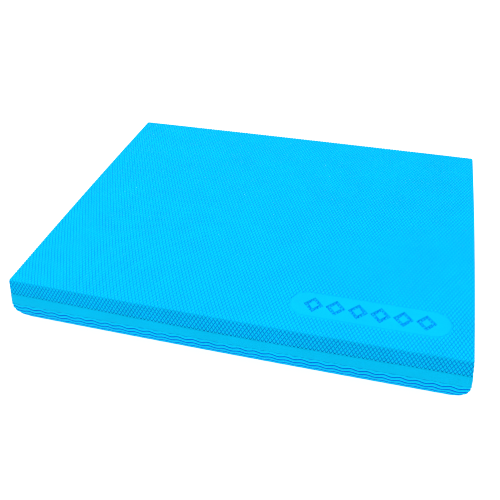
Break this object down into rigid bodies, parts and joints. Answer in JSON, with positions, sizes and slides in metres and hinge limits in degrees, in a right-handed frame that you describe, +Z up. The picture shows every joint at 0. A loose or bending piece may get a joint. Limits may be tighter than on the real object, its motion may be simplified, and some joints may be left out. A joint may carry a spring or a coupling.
{
  "type": "balance pad",
  "caption": "Rectangular foam balance pad with a pip-embossed top, a plain middle band, a wave-embossed rolled underside and an oval badge near one corner.",
  "frame": {"origin": "on the floor, under the centre of the pad", "axes": "+X along the long side, +Y away from the long side that carries the badge, +Z up"},
  "size_m": [0.4, 0.33, 0.05],
  "materials": {
    "upper_facing_foam": "satin pip-embossed closed-cell foam",
    "middle_band_foam": "satin smooth-pressed closed-cell foam",
    "lower_facing_foam": "satin wave-embossed closed-cell foam",
    "core_foam": "matt cut closed-cell foam"
  },
  "bodies": {
    "root": {"upper_facing": "upper_facing_foam", "upper_core_ply": "core_foam", "middle_core_ply": "middle_band_foam", "lower_core_ply": "core_foam", "lower_facing": "lower_facing_foam"}
  },
  "joints": []
}
